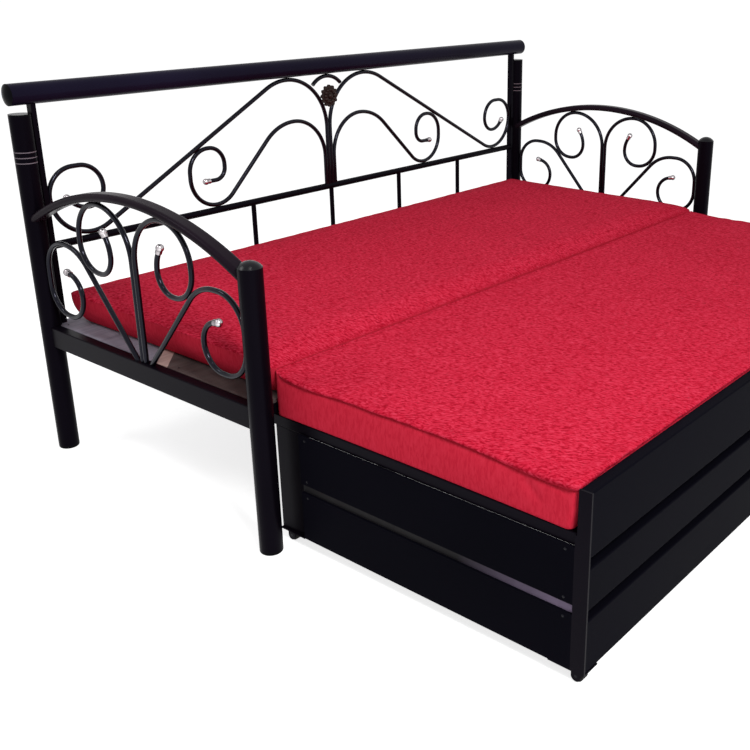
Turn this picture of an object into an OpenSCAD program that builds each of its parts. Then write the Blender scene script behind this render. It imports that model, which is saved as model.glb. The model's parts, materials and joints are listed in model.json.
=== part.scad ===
// Metal day bed with scrollwork back and arms, a fixed seat and a pull-out bed box on castors.
// It is drawn open, as a bed. The origin is the middle of the footprint on the floor.
// +X runs along the bed to its right end, -Y to the front of the pull-out box and +Z up.

/* [Posts] */
// Distance between the left and right post axes
post_spacing = 1920; // [1700:10:2050]
// Distance between the back and front post axes
arm_spacing = 790; // [740:5:860]
// Diameter of the four posts
post_dia = 50; // [44:1:54]
// Wall of all the round, oval and square tubes
tube_wall = 1.5; // [1:0.1:2.5]
// Height of the back posts' upper rim above the floor
back_post_h = 840; // [800:5:900]
// Height of the front posts' upper rim above the floor
front_post_h = 624; // [590:2:660]
// Height of the plastic shoe under each post
shoe_h = 9; // [5:1:16]
// Thickness of the flat caps on the back posts
back_cap_t = 4; // [2:1:8]
// Rise of the domed caps on the front posts
front_cap_rise = 13; // [8:1:20]

/* [Back] */
// Diameter of the top tube
top_tube_dia = 50; // [44:1:54]
// Gap between the back posts' caps and the top tube
top_tube_gap = 19; // [8:1:30]
// How far the top tube reaches past the post axes
top_tube_overhang = 22; // [10:1:60]
// Height of the cross rail's axis above the floor
cross_rail_z = 525; // [480:2:560]
// Diameter of the cross rail
cross_rail_dia = 19; // [14:1:22]
// Width of the flat side bars between the back panel and the posts
side_bar_w = 12; // [8:1:16]
// Depth of the flat side bars
side_bar_d = 20; // [14:1:26]
// Number of short uprights under the cross rail
upright_count = 4; // [3:1:5]
// Distance between the short uprights
upright_pitch = 308; // [240:2:330]
// How far the row of short uprights stands right of the middle
upright_shift = 154; // [0:2:160]
// Diameter of the short uprights
upright_dia = 14; // [10:1:16]

/* [Scrolls] */
// Diameter of the bent scroll rods
rod_dia = 12; // [10:0.5:13]
// Diameter of the ball on each scroll's tip
tip_ball_dia = 18; // [16:0.5:20]
// Radius of the first bend of the tall back scrolls
outer_bend_r = 150; // [130:1:170]
// Radius of the shoulder that follows that bend
outer_shoulder_r = 160; // [130:1:220]
// Radius at which the tall back scrolls begin to curl
outer_curl_r = 100; // [92:1:108]
// Radius of the bend over the low back scrolls
inner_bend_r = 118; // [104:1:128]
// Radius of the shoulder that follows that bend
inner_shoulder_r = 152; // [120:1:170]
// Radius at which the low back scrolls begin to curl
inner_curl_r = 81; // [72:1:88]
// Height of the low back scrolls as a share of the tall ones
inner_rise_share = 0.62; // [0.55:0.01:0.62]
// Reach of the low back scrolls and two rods' thickness, as a share of the tall ones' reach
inner_reach_share = 0.587; // [0.56:0.001:0.588]
// Bend radius of the small arch over the medallion
centre_arch_r = 80; // [74:1:86]
// Radius of the medallion
medallion_r = 33; // [26:0.5:36]
// Height of the medallion's middle above the floor
medallion_z = 799; // [790:1:806]

/* [Arms] */
// Height of the arm tube's axis at the middle of the arm
arm_crown_z = 698; // [670:1:720]
// How much the arm tube rises from its ends to its middle
arm_rise = 105; // [80:1:112]
// Width of the flat-oval arm tube
arm_tube_w = 38; // [30:1:44]
// Thickness of the flat-oval arm tube
arm_tube_t = 19; // [15:1:24]
// Height of the lower arm rail
arm_rail_h = 50; // [40:1:60]
// Width of the lower arm rail
arm_rail_w = 25; // [20:1:32]
// Radius of the first bend of the inner arm scrolls
arm_inner_r = 112; // [104:1:118]
// Radius of the first bend of the outer arm scrolls
arm_outer_r = 111; // [100:1:116]
// Height of the outer arm scrolls above the lower rail
arm_outer_rise = 224; // [214:1:234]

/* [Seat] */
// Height of the fixed seat boards' upper face above the floor
seat_z = 330; // [322:1:345]
// Distance from the back post axes to the seat's front edge
seat_depth = 778; // [765:1:790]
// Thickness of the seat boards
seat_board_t = 8; // [5:1:12]
// Side of the square tubes under the seat
seat_tube = 25; // [20:1:25]
// Number of cross members under the seat boards
seat_member_count = 5; // [3:1:8]
// Width of the pale strip between the two seat boards, measured from front to back
seat_strip_w = 45; // [30:1:60]
// Distance from the back post axes to the middle of the strip's ends at the arms
seat_strip_y = 437; // [400:1:480]
// How far the strip's ends run diagonally towards the back
seat_strip_slant = 100; // [60:5:140]

/* [Pull-out box] */
// How far the box pulls out of the seat
slide_travel = 737; // [700:1:760]
// Clear gap between the box and each post
box_side_gap = 19; // [12:1:30]
// Clear gap between the closed box and the seat's front edge
box_close_gap = 2; // [1:0.5:6]
// Height of the box's lower edge above the floor, and of the castors
box_bottom_z = 30; // [30:1:40]
// Height of the box's bed boards above the floor
box_top_z = 295; // [285:1:296]
// Side of the square tubes of the box
box_tube = 25; // [20:1:28]
// How far the box's rear end stays under the seat when it is drawn out
box_overlap = 31.5; // [20:0.5:34]
// Depth of the rear corner posts
rear_post_d = 75; // [60:1:90]
// Thickness of the angle irons at the front corners
corner_t = 4; // [2:0.5:6]
// Thickness of the sheet on the box's sides
side_sheet_t = 6; // [3:0.5:9]
// Height of the lower side sheet
lower_sheet_h = 110; // [90:1:120]
// Height of the open slot between the side sheets
side_slot_h = 20; // [10:1:30]
// How far the upper side sheet stops below the bed boards
sheet_reveal = 24; // [10:1:40]
// Thickness of the bed boards in the box
bed_board_t = 8; // [5:1:12]
// Number of slats under the bed boards
slat_count = 5; // [3:1:8]
// Height of the front's lower board
low_board_h = 106; // [90:1:120]
// Height of the front's middle board
mid_board_h = 82; // [70:1:96]
// Height of the front's upper board
top_board_h = 122; // [104:1:130]
// Height of the slots between the front boards
front_slot_h = 20; // [10:1:26]
// How far the boards lie back from the edges of the corner angles
board_setback = 1; // [0.5:0.5:3]

/* [Castors] */
// Diameter of the castor wheels
wheel_dia = 25; // [20:1:26]
// Width of the castor wheels
wheel_w = 20; // [12:0.5:24]
// Diameter of the castor axles
axle_dia = 6; // [5:0.5:8]
// Width of the castor plates
castor_plate_w = 44; // [36:1:50]
// Distance from a castor plate's outer end to its axle
axle_inset = 22; // [18:0.5:26]
// Radial play between an axle and its wheel
axle_play = 0.05; // [0.02:0.01:0.1]
// Thickness of the castor's sheet metal
castor_plate_t = 2; // [1.5:0.1:2.5]

/* [Mattress] */
// Clear gap between each end of the mattress and the posts
pad_end_gap = 20.5; // [15:0.5:60]
// Thickness of the rear mattress half at its seams
rear_pad_t = 78; // [66:1:82]
// Thickness of the front mattress half at its seams
front_pad_t = 83; // [70:1:84]
// Height of the crown over the upper seam of the rear half
rear_crown = 10; // [4:1:10]
// Height of the crown over the upper seam of the front half
front_crown = 12; // [6:1:14]
// Width of the rounded border that leads up to the crown
crown_border = 90; // [60:1:120]
// How far each side is drawn in at the middle
side_pull = 4; // [1:0.5:8]
// How far the rear half's sides lean in at the bottom
rear_tuck = 24; // [0:1:30]
// How far the front half's sides lean in at the bottom
front_tuck = 4; // [0:1:12]
// Clear gap between the rear half and the back scrollwork
pad_back_gap = 10; // [6:1:20]
// How far the front half's lower front edge is set back, so that it clears the front board as it folds
fold_relief = 38; // [36:1:48]

/* [Hidden] */

$fn = 48;
// One overrun serves all cuts
overrun = 1;
// Gap between rods that are tacked side by side, and between a rod and what it rests against
tack_gap = 0.2;
// Gap between soft pieces and pieces of another body
soft_gap = 0.4;

post_r = post_dia / 2;
pad_l = post_spacing - post_dia - 2 * pad_end_gap;
half_span = post_spacing / 2;
panel_t = box_tube;
open_depth = post_r + seat_depth + box_close_gap + slide_travel + panel_t;
back_y = open_depth / 2 - post_r;
front_y = back_y - arm_spacing;
seat_front_y = back_y - seat_depth;
box_inner_y = seat_front_y - box_close_gap - slide_travel;
box_front_y = box_inner_y - panel_t;

top_tube_z = back_post_h + back_cap_t + top_tube_gap + top_tube_dia / 2;
top_tube_low_z = top_tube_z - top_tube_dia / 2;
cross_rail_top_z = cross_rail_z + cross_rail_dia / 2;
side_bar_x = half_span - post_r - side_bar_w / 2;

arm_half = arm_spacing / 2;
arm_mid_y = back_y - arm_half;
arm_arc_r = (arm_half * arm_half + arm_rise * arm_rise) / (2 * arm_rise);
arm_rail_top_z = seat_z;
arm_rail_low_z = seat_z - arm_rail_h;

seat_tube_z = seat_z - seat_board_t - seat_tube;
box_half = half_span - post_r - box_side_gap;
rail_out_x = box_half - side_sheet_t;
rail_in_x = rail_out_x - box_tube;
box_rear_y = seat_front_y + box_overlap;
rear_post_y = box_rear_y - box_tube;
rail_front_y = box_inner_y + corner_t;
sheet_rear_y = rear_post_y - rear_post_d;
front_top_z = box_bottom_z + low_board_h + mid_board_h + top_board_h + 2 * front_slot_h;

rod_r = rod_dia / 2;
tip_r = tip_ball_dia / 2;
// Straight end of a rod that fills its tip's collar
tip_run = tip_r + tube_wall;

steel = [0.07, 0.07, 0.08];
sheet_black = [0.10, 0.10, 0.11];
plastic = [0.13, 0.11, 0.10];
chrome = [0.82, 0.82, 0.84];
ply_grey = [0.42, 0.40, 0.43];
ply_brown = [0.28, 0.23, 0.20];
pale_wood = [0.62, 0.47, 0.40];
red_cloth = [0.75, 0.08, 0.16];
rubber = [0.06, 0.06, 0.06];

// Angle of the straight run of a scroll. reach is the sideways distance that is left for the shoulder
// and the run, drop is its fall, and radii is the sum of the bend radii at its two ends.
function slope_angle(reach, drop, radii) =
    2 * atan(drop / (reach + sqrt(reach * reach - (2 * radii - drop) * drop)));

// Length of the straight run that goes with that angle
function slope_run(drop, radii, angle) = (drop - radii * (1 - cos(angle))) / sin(angle);

// A closed round tube along +Z
module round_tube(len, dia) {
    difference() {
        cylinder(d = dia, h = len);
        translate([0, 0, -overrun]) cylinder(d = dia - 2 * tube_wall, h = len + 2 * overrun);
    }
}

// A rectangle with rounded corners, from the origin
module round_rect(size, r) {
    translate([r, 0]) square([size[0] - 2 * r, size[1]]);
    translate([0, r]) square([size[0], size[1] - 2 * r]);
    for (x = [r, size[0] - r], y = [r, size[1] - r]) translate([x, y]) circle(r = r, $fn = 24);
}
section_r = tube_wall * 1.5;

// A rectangular tube along +X, with its lowest corner at the origin
module box_section(len, depth, height) {
    rotate([90, 0, 90]) linear_extrude(len) difference() {
        round_rect([depth, height], section_r);
        translate([tube_wall, tube_wall])
            round_rect([depth - 2 * tube_wall, height - 2 * tube_wall], section_r - tube_wall);
    }
}

// The same tube along +Y, and along +Z
module box_section_y(width, len, height) {
    translate([width, 0, 0]) rotate([0, 0, 90]) box_section(len, width, height);
}
module box_section_z(width, depth, len) {
    translate([0, 0, len]) rotate([0, 90, 0]) box_section(len, depth, width);
}

// A rod bent in its own XY plane. It starts at the origin along +X. Each step is
// [length, 0] for a straight run or [radius, turn] for a bend, and a positive turn goes left.
// A thin dressed weld joins each run to the next one.
weld_gap = 0.05;
weld_half = 0.3;
weld_rise = 0.03;
function step_end(at, step) =
    let (heading = at[2], run = step[0], turn = step[1], side = sign(turn), next = heading + turn)
    turn == 0 ? [at[0] + run * cos(heading), at[1] + run * sin(heading), heading] :
    [at[0] + side * run * (sin(next) - sin(heading)), at[1] + side * run * (cos(heading) - cos(next)), next];
function rod_end(steps, n) = n == 0 ? [0, 0, 0] : step_end(rod_end(steps, n - 1), steps[n - 1]);
module at_rod_step(steps, n) {
    at = rod_end(steps, n);
    translate([at[0], at[1], 0]) rotate([0, 0, at[2]]) children();
}
module straight_run(len, dia) {
    translate([weld_gap, 0, 0]) rotate([0, 90, 0]) cylinder(d = dia, h = len - 2 * weld_gap);
}
module bend(radius, turn, dia) {
    trim = atan(weld_gap / radius);
    start = turn > 0 ? -90 : 90 + turn;
    translate([0, sign(turn) * radius, 0]) rotate([0, 0, start + trim])
        rotate_extrude(angle = abs(turn) - 2 * trim, $fn = 72)
            translate([radius, 0]) circle(d = dia, $fn = 24);
}
module bent_rod(steps, dia) {
    for (i = [0 : len(steps) - 1]) at_rod_step(steps, i) {
        if (steps[i][1] == 0) straight_run(steps[i][0], dia);
        else bend(steps[i][0], steps[i][1], dia);
        if (i > 0) translate([-weld_half, 0, 0]) rotate([0, 90, 0])
            cylinder(d = dia + 2 * weld_rise, h = 2 * weld_half);
    }
}
module at_rod_end(steps) {
    at_rod_step(steps, len(steps)) children();
}

// The ball and collar that cap a scroll's tip
module scroll_tip() {
    collar_len = tip_r;
    rotate([0, 90, 0]) difference() {
        union() {
            translate([0, 0, collar_len / 2]) sphere(r = tip_r);
            translate([0, 0, -collar_len]) cylinder(r = rod_r + tube_wall, h = collar_len);
        }
        translate([0, 0, -collar_len - overrun]) cylinder(d = rod_dia, h = collar_len + overrun);
    }
}

// A domed screw or bolt head of a given radius, seated on the XY plane
module dome_head(r) {
    rotate_extrude() intersection() {
        translate([0, -r]) circle(r = r * dome_share);
        square([r, r]);
    }
}
module washer_head(r) {
    washer_t = r * 0.3;
    rotate_extrude() {
        square([r, washer_t]);
        translate([0, washer_t]) intersection() {
            translate([0, -r * washer_share]) circle(r = r * dome_share * washer_share);
            square([r * washer_share, r]);
        }
    }
}
washer_share = 0.8;
dome_share = 1.25;
bolt_r = post_r * 0.22;
screw_r = seat_strip_w * 0.08;

// Places its children at x and at -x, the second one mirrored
module both_ends() {
    children();
    mirror([1, 0, 0]) children();
}

// Posts and their plastic fittings
module post(h) {
    translate([0, 0, shoe_h]) round_tube(h - shoe_h, post_dia);
}
module back_posts() {
    color(steel) both_ends() translate([half_span, back_y, 0]) difference() {
        post(back_post_h);
        for (k = [0 : ring_count - 1])
            translate([0, 0, ring_z + k * ring_pitch]) ring_groove();
    }
}
// Three turned rings decorate each back post
ring_count = 3;
ring_pitch = post_r / 2;
ring_depth = tube_wall / 2;
ring_z = top_tube_z - top_tube_dia * 3.1;
module ring_groove() {
    rotate_extrude() translate([post_r, 0]) circle(r = ring_depth, $fn = 24);
}
module front_posts() {
    color(steel) both_ends() translate([half_span, front_y, 0]) post(front_post_h);
}
module post_plug(depth) {
    translate([0, 0, -depth]) cylinder(r = post_r - tube_wall, h = depth);
}
module back_post_caps() {
    color(plastic) both_ends() translate([half_span, back_y, back_post_h]) {
        cylinder(r = post_r, h = back_cap_t);
        post_plug(back_cap_t * 3);
    }
}
module front_post_caps() {
    dome_r = (post_r * post_r + front_cap_rise * front_cap_rise) / (2 * front_cap_rise);
    color(plastic) both_ends() translate([half_span, front_y, front_post_h]) {
        rotate_extrude() intersection() {
            translate([0, front_cap_rise - dome_r]) circle(r = dome_r, $fn = 96);
            square([post_r, front_cap_rise]);
        }
        post_plug(front_cap_rise);
    }
}
module leg_shoes() {
    toe_r = shoe_h / 2;
    color(plastic) both_ends() for (y = [back_y, front_y]) translate([half_span, y, 0]) {
        rotate_extrude() {
            square([post_r - toe_r, shoe_h]);
            translate([0, toe_r]) square([post_r, shoe_h - toe_r]);
            translate([post_r - toe_r, toe_r]) circle(r = toe_r);
        }
        translate([0, 0, shoe_h]) cylinder(r = post_r - tube_wall, h = shoe_h);
    }
}

// Back panel: tubes and bars
top_tube_half = half_span + top_tube_overhang;
module back_top_tube() {
    color(steel) translate([-top_tube_half, back_y, top_tube_z])
        rotate([0, 90, 0]) round_tube(2 * top_tube_half, top_tube_dia);
}
module top_tube_end_caps() {
    cap_rise = top_tube_dia * 0.12;
    cap_r = top_tube_dia / 2;
    dome_r = (cap_r * cap_r + cap_rise * cap_rise) / (2 * cap_rise);
    color(plastic) both_ends() translate([top_tube_half, back_y, top_tube_z]) rotate([0, 90, 0]) {
        rotate_extrude() intersection() {
            translate([0, cap_rise - dome_r]) circle(r = dome_r, $fn = 96);
            square([cap_r, cap_rise]);
        }
        translate([0, 0, -cap_r]) cylinder(r = cap_r - tube_wall, h = cap_r);
    }
}
module top_tube_space() {
    translate([-top_tube_half, back_y, top_tube_z]) rotate([0, 90, 0])
        cylinder(d = top_tube_dia, h = 2 * top_tube_half);
}
module cross_rail_space(clearance = 0) {
    translate([-side_bar_x, back_y, cross_rail_z]) rotate([0, 90, 0])
        cylinder(d = cross_rail_dia + 2 * clearance, h = 2 * side_bar_x);
}
module back_side_bars() {
    low_z = seat_tube_z + seat_tube;
    color(steel) both_ends() difference() {
        translate([side_bar_x - side_bar_w / 2, back_y - side_bar_d / 2, low_z])
            cube([side_bar_w, side_bar_d, top_tube_z - low_z]);
        top_tube_space();
        translate([half_span, back_y, 0]) cylinder(r = post_r, h = top_tube_z);
        cross_rail_space();
    }
}
module back_cross_rail() {
    reach = side_bar_x;
    color(steel) translate([-reach, back_y, cross_rail_z]) rotate([0, 90, 0])
        cylinder(d = cross_rail_dia, h = 2 * reach);
}
module back_uprights() {
    first_x = upright_shift - upright_pitch * (upright_count - 1) / 2;
    low_z = seat_tube_z + seat_tube;
    color(steel) difference() {
        for (k = [0 : upright_count - 1]) translate([first_x + k * upright_pitch, back_y, low_z])
            cylinder(d = upright_dia, h = cross_rail_z - low_z);
        cross_rail_space();
    }
}

// Back scrolls. Their stems stand beside each other in the middle and their curls touch the cross rail.
scroll_low_z = cross_rail_top_z + rod_r + tack_gap;
outer_drop = top_tube_low_z - rod_r - tack_gap - scroll_low_z;
outer_stem_x = rod_r + tack_gap / 2;
inner_stem_x = 3 * outer_stem_x;
outer_reach = side_bar_x - side_bar_w / 2 - rod_r - tack_gap;
inner_drop = outer_drop * inner_rise_share;
inner_reach = outer_reach * inner_reach_share - 2 * rod_dia;

// What follows a curl's first bend, as shares of that bend's radius: [straight run, then radius] for
// each quarter turn. The tips follow.
outer_curl_shares = [[0, 0.67], [0.17, 0.6], [0, 0.45]];
outer_tip_share = 0.62;
outer_tip_turn = 47;
inner_curl_shares = [[0.18, 0.77], [0.05, 0.61], [0.1, 0.4]];
inner_tip_share = 0.37;
function quarter_turns(r, shares, turn) = [for (s = shares, part = [0, 1])
    if (part == 1 || s[0] > 0) part == 0 ? [r * s[0], 0] : [r * s[1], turn]];
function back_scroll_steps(stem_x, bend_r, shoulder_r, curl_r, drop, reach) =
    let (radii = shoulder_r + curl_r, angle = slope_angle(reach - stem_x - bend_r - curl_r, drop, radii)) [
        [drop + rod_r + tack_gap + cross_rail_dia / 2 - bend_r, 0],
        [bend_r, -90],
        [shoulder_r, -angle],
        [slope_run(drop, radii, angle), 0],
        [curl_r, angle + 90]
    ];
outer_back_steps = concat(
    back_scroll_steps(outer_stem_x, outer_bend_r, outer_shoulder_r, outer_curl_r, outer_drop, outer_reach),
    quarter_turns(outer_curl_r, outer_curl_shares, 90),
    [[outer_curl_r * outer_tip_share, outer_tip_turn], [tip_run, 0]]);
inner_back_steps = concat(
    back_scroll_steps(inner_stem_x, inner_bend_r, inner_shoulder_r, inner_curl_r, inner_drop, inner_reach),
    quarter_turns(inner_curl_r, inner_curl_shares, 90), [[inner_curl_r * inner_tip_share, 0]]);

// Stands a path on the cross rail: its X runs up and its -Y to the right
module on_cross_rail(stem_x) {
    translate([stem_x, back_y, cross_rail_z]) rotate([90, -90, 0]) mirror([0, 0, 1]) children();
}
module back_scroll(stem_x, steps) {
    difference() {
        on_cross_rail(stem_x) bent_rod(steps, rod_dia);
        cross_rail_space(tack_gap / 2);
    }
}
module outer_back_scroll_right() { color(steel) back_scroll(outer_stem_x, outer_back_steps); }
module outer_back_scroll_left() { mirror([1, 0, 0]) outer_back_scroll_right(); }
module inner_back_scroll_right() { color(steel) back_scroll(inner_stem_x, inner_back_steps); }
module inner_back_scroll_left() { mirror([1, 0, 0]) inner_back_scroll_right(); }
module back_scroll_tips() {
    color(chrome) both_ends() {
        on_cross_rail(outer_stem_x) at_rod_end(outer_back_steps) scroll_tip();
        on_cross_rail(inner_stem_x) at_rod_end(inner_back_steps) scroll_tip();
    }
}

// The small arch bridges the shoulders of the tall scrolls under the top tube
arch_top_z = top_tube_low_z - rod_r - tack_gap;
bend_centre_x = outer_stem_x + outer_bend_r;
bend_centre_z = arch_top_z - outer_bend_r;
arch_centre_z = arch_top_z - centre_arch_r;
// Half angle of the arch, at which its rod meets the scroll's rod
arch_dx = bend_centre_x;
arch_dz = bend_centre_z - arch_centre_z;
arch_span = sqrt(arch_dx * arch_dx + arch_dz * arch_dz);
arch_contact = outer_bend_r + rod_dia;
arch_lean = acos((arch_span * arch_span + centre_arch_r * centre_arch_r - arch_contact * arch_contact)
    / (2 * arch_span * centre_arch_r));
arch_half_angle = 90 - (arch_lean + atan2(arch_dz, arch_dx));
module centre_arch() {
    color(steel) translate([0, back_y, arch_centre_z]) rotate([90, 0, 0])
        rotate([0, 0, 90 - arch_half_angle])
            rotate_extrude(angle = 2 * arch_half_angle, $fn = 72)
                translate([centre_arch_r, 0]) circle(d = rod_dia, $fn = 24);
}

// Cast rosette on the front of the tall scrolls' shoulders
petal_count = 12;
medallion_t = rod_dia;
module centre_medallion() {
    scallop_r = medallion_r * 0.16;
    rim_r = medallion_r - scallop_r;
    boss_r = medallion_r * 0.26;
    petal_r = medallion_r * 0.17;
    petal_reach = medallion_r * 0.55;
    plate_t = medallion_t * 0.55;
    color(steel) translate([0, back_y - rod_r - tack_gap, medallion_z]) rotate([90, 0, 0]) difference() {
        union() {
            cylinder(r = rim_r, h = plate_t);
            for (k = [0 : petal_count - 1]) rotate([0, 0, k * 360 / petal_count]) {
                translate([rim_r, 0, 0]) cylinder(r = scallop_r, h = plate_t, $fn = 24);
                translate([petal_reach, 0, plate_t]) sphere(r = petal_r, $fn = 24);
            }
            translate([0, 0, plate_t]) sphere(r = boss_r);
        }
        translate([0, 0, -medallion_r]) cylinder(r = medallion_r, h = medallion_r);
    }
}
module back_panel_bolts() {
    high_z = back_post_h - post_dia - bolt_r * 2;
    low_z = seat_z + bolt_r * 3;
    color(steel) both_ends() for (z = [low_z, high_z])
        translate([side_bar_x - side_bar_w / 2, back_y, z]) rotate([0, -90, 0]) dome_head(bolt_r);
}

// Arms
module arm_tube_profile() {
    flat = arm_tube_w - arm_tube_t;
    difference() {
        union() {
            square([arm_tube_t, flat], center = true);
            for (s = [-1, 1]) translate([0, s * flat / 2]) circle(d = arm_tube_t);
        }
        square([arm_tube_t - 2 * tube_wall, flat], center = true);
        for (s = [-1, 1]) translate([0, s * flat / 2]) circle(d = arm_tube_t - 2 * tube_wall);
    }
}
module arm_top_tube_right() {
    end_angle = asin(arm_half / arm_arc_r);
    color(steel) difference() {
        translate([half_span, arm_mid_y, arm_crown_z - arm_arc_r]) rotate([0, -90, 0])
            rotate([0, 0, -end_angle]) rotate_extrude(angle = 2 * end_angle, $fn = 180)
                translate([arm_arc_r, 0]) arm_tube_profile();
        for (y = [back_y, front_y]) translate([half_span, y, 0])
            cylinder(r = post_r, h = back_post_h);
    }
}
module arm_top_tube_left() { mirror([1, 0, 0]) arm_top_tube_right(); }
module arm_lower_rail_right() {
    color(steel) difference() {
        translate([half_span - arm_rail_w / 2, front_y, arm_rail_low_z])
            box_section_y(arm_rail_w, arm_spacing, arm_rail_h);
        for (y = [back_y, front_y]) translate([half_span, y, 0])
            cylinder(r = post_r, h = back_post_h);
    }
}
module arm_lower_rail_left() { mirror([1, 0, 0]) arm_lower_rail_right(); }

// Arm scrolls: the inner pair stands in the middle and touches the arm tube. The outer pair leans
// out from the rail beside it and touches the posts.
arm_outer_foot = rod_dia * 2.3;
arm_outer_root = rod_dia;
arm_outer_first = [0.11, 0.68];
arm_outer_shares = [[0.32, 0.61], [0.1, 0.52]];
arm_outer_tip_share = 0.46;
arm_outer_tip_turn = 78;
arm_outer_reach = arm_half - post_r - rod_r - tack_gap;
arm_outer_top_y = arm_outer_reach - arm_outer_r * (arm_outer_first[0] + arm_outer_first[1]);
arm_outer_angle = slope_angle(arm_outer_top_y - arm_outer_foot, arm_outer_rise, arm_outer_r);
arm_outer_steps = concat(
    [[arm_outer_root + slope_run(arm_outer_rise, arm_outer_r, arm_outer_angle), 0]],
    [[arm_outer_r, -arm_outer_angle]],
    quarter_turns(arm_outer_r, [arm_outer_first], -90), quarter_turns(arm_outer_r, arm_outer_shares, -90),
    [[arm_outer_r * arm_outer_tip_share, -arm_outer_tip_turn], [tip_run, 0]]);

arm_stem = rod_r + tack_gap / 2;
arm_inner_shares = [[0, 0.79], [0, 0.58], [0.05, 0.44]];
arm_inner_tip_share = 0.69;
arm_inner_tip_turn = 31;
arm_top_y = arm_stem + arm_inner_r;
// The second bend of the inner scroll lies against the arm tube's lower face
arm_second_r = arm_inner_r * arm_inner_shares[0][1];
arm_second_reach = arm_arc_r - arm_tube_t / 2 - tack_gap - rod_r - arm_second_r;
arm_inner_top_z = arm_crown_z - arm_arc_r + arm_second_r
    + sqrt(arm_second_reach * arm_second_reach - arm_top_y * arm_top_y);
// The inner scroll runs straight down until its next bend lies against the outer scroll's first one
arm_side_y = arm_top_y + arm_second_r;
arm_side_z = arm_inner_top_z - arm_second_r;
arm_low_r = arm_inner_r * arm_inner_shares[1][1];
arm_touch = arm_outer_r + arm_low_r + rod_dia + tack_gap;
arm_touch_dy = arm_outer_top_y - (arm_side_y - arm_low_r);
arm_touch_dz = sqrt(arm_touch * arm_touch - arm_touch_dy * arm_touch_dy);
arm_inner_drop = arm_side_z - (arm_rail_top_z + arm_outer_rise - arm_outer_r + arm_touch_dz);
arm_inner_steps = concat(
    [[arm_inner_top_z - arm_rail_top_z - arm_inner_r, 0], [arm_inner_r, -90]],
    quarter_turns(arm_inner_r, [arm_inner_shares[0]], -90), [[arm_inner_drop, 0]],
    quarter_turns(arm_inner_r, [arm_inner_shares[1], arm_inner_shares[2]], -90),
    [[arm_inner_r * arm_inner_tip_share, -arm_inner_tip_turn], [tip_run, 0]]);
// Stands a path on the right arm's lower rail: its X runs up and its -Y to the front.
// It may begin a root's length inside the rail.
module on_arm_rail(foot, lean = 0, root = 0) {
    translate([half_span, arm_mid_y - foot, arm_rail_top_z]) rotate([0, -90, 0])
        rotate([0, 0, -lean]) translate([-root, 0, 0]) children();
}
module on_arm_outer_foot() {
    on_arm_rail(arm_outer_foot, 90 - arm_outer_angle, arm_outer_root) children();
}
module arm_pair() {
    children();
    translate([0, arm_mid_y, 0]) mirror([0, 1, 0]) translate([0, -arm_mid_y, 0]) children();
}
module arm_inner_scrolls_right() {
    color(steel) arm_pair() on_arm_rail(arm_stem) bent_rod(arm_inner_steps, rod_dia);
}
module arm_inner_scrolls_left() { mirror([1, 0, 0]) arm_inner_scrolls_right(); }
module arm_outer_scrolls_right() {
    color(steel) arm_pair() difference() {
        on_arm_outer_foot() bent_rod(arm_outer_steps, rod_dia);
        translate([half_span - rod_dia, front_y, arm_rail_low_z])
            cube([2 * rod_dia, arm_spacing, arm_rail_h]);
    }
}
module arm_outer_scrolls_left() { mirror([1, 0, 0]) arm_outer_scrolls_right(); }
module arm_scroll_tips() {
    color(chrome) both_ends() arm_pair() {
        on_arm_rail(arm_stem) at_rod_end(arm_inner_steps) scroll_tip();
        on_arm_outer_foot() at_rod_end(arm_outer_steps) scroll_tip();
    }
}
module front_post_bolts() {
    gap_z = seat_tube_z + seat_tube / 2;
    color(steel) both_ends() for (z = [gap_z / 2, gap_z, gap_z * 4 / 3])
        translate([half_span - post_r - tack_gap, front_y, z]) rotate([0, -90, 0]) washer_head(bolt_r);
}

// Fixed seat
module post_spaces() {
    for (x = [-half_span, half_span], y = [back_y, front_y]) translate([x, y, 0])
        cylinder(r = post_r, h = back_post_h);
}
module seat_rear_rail() {
    color(steel) difference() {
        translate([-half_span, back_y - seat_tube / 2, seat_tube_z])
            box_section(post_spacing, seat_tube, seat_tube);
        post_spaces();
    }
}
seat_rail_half = half_span - arm_rail_w / 2;
module seat_front_rail() {
    color(steel) difference() {
        translate([-seat_rail_half, seat_front_y, seat_tube_z])
            box_section(2 * seat_rail_half, seat_tube, seat_tube);
        post_spaces();
    }
}
member_front_y = seat_front_y + seat_tube;
member_rear_y = back_y - seat_tube / 2;
module seat_cross_members() {
    pitch = 2 * seat_rail_half / (seat_member_count + 1);
    color(steel) for (k = [1 : seat_member_count])
        translate([-seat_rail_half + k * pitch - seat_tube / 2, member_front_y, seat_tube_z])
            box_section_y(seat_tube, member_rear_y - member_front_y, seat_tube);
}
board_low_z = seat_z - seat_board_t;
board_rear_y = back_y + seat_tube / 2;
board_half = seat_rail_half - tack_gap;
strip_end_y = back_y - seat_strip_y;
strip_mid_y = strip_end_y + seat_strip_slant;
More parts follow.
